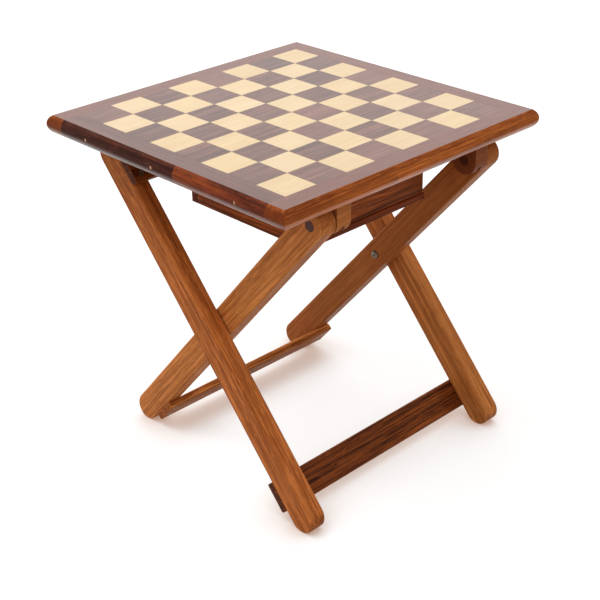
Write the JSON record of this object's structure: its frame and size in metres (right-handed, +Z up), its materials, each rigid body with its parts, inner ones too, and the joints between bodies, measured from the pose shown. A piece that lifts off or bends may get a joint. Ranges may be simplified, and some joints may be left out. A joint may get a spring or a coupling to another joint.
{
  "type": "folding chess table",
  "caption": "Small folding table with an inlaid chess board on top, a storage case with a sliding lid under it and two crossed leg frames that fold flat.",
  "frame": {"origin": "on the floor, under the middle of the board", "axes": "+X along the hinge dowels to the right, +Y from the hinged side to the free side, +Z up"},
  "size_m": [0.2966, 0.2966, 0.3048],
  "materials": {
    "light_wood": "satin varnish",
    "dark_wood": "satin varnish",
    "border_wood": "satin varnish",
    "core_wood": "raw",
    "leg_wood": "satin varnish",
    "slat_wood": "satin varnish",
    "bracket_wood": "satin varnish",
    "case_wood": "satin varnish",
    "lid_wood": "satin varnish",
    "dowel_wood": "satin",
    "screw_steel": "zinc plated",
    "brad_steel": "dull"
  },
  "bodies": {
    "table_top": {"field_core": "core_wood", "light_squares": "light_wood", "dark_squares": "dark_wood", "border_front": "border_wood", "border_back": "border_wood", "border_right": "border_wood", "border_left_front": "border_wood", "border_left_back": "border_wood", "edge_brads": "brad_steel", "hinge_bracket_left": "bracket_wood", "hinge_bracket_right": "bracket_wood", "bracket_screws": "screw_steel", "case_side_left": "case_wood", "case_side_right": "case_wood", "case_front": "case_wood", "case_back": "case_wood", "case_brads": "brad_steel"},
    "lid": {"lid_panel": "lid_wood", "lid_lip": "lid_wood"},
    "inner_frame": {"inner_leg_left": "leg_wood", "inner_leg_right": "leg_wood", "inner_slat": "slat_wood", "inner_slat_screws": "screw_steel", "hinge_pins": "dowel_wood"},
    "outer_frame": {"outer_leg_left": "leg_wood", "outer_leg_right": "leg_wood", "outer_slat": "slat_wood", "outer_slat_screws": "screw_steel", "top_rail": "slat_wood", "top_rail_screws": "screw_steel", "pivot_screws": "screw_steel", "pivot_washers": "screw_steel"}
  },
  "joints": [
    {"name": "lid_slide", "type": "slide", "parent": "table_top", "child": "lid", "axis": [0, 1, 0], "range_m": [-0.12, 0]},
    {"name": "fold", "type": "hinge", "parent": "table_top", "child": "inner_frame", "pos_m": [0, -0.129, 0.2749], "axis": [1, 0, 0], "range_deg": [0, 49]},
    {"name": "leg_cross", "type": "hinge", "parent": "inner_frame", "child": "outer_frame", "pos_m": [0, -0.0155, 0.14433], "axis": [1, 0, 0], "range_deg": [-98, 0]}
  ],
  "couplings": [
    {"joint": "leg_cross", "follows": "fold", "ratio": -2}
  ]
}
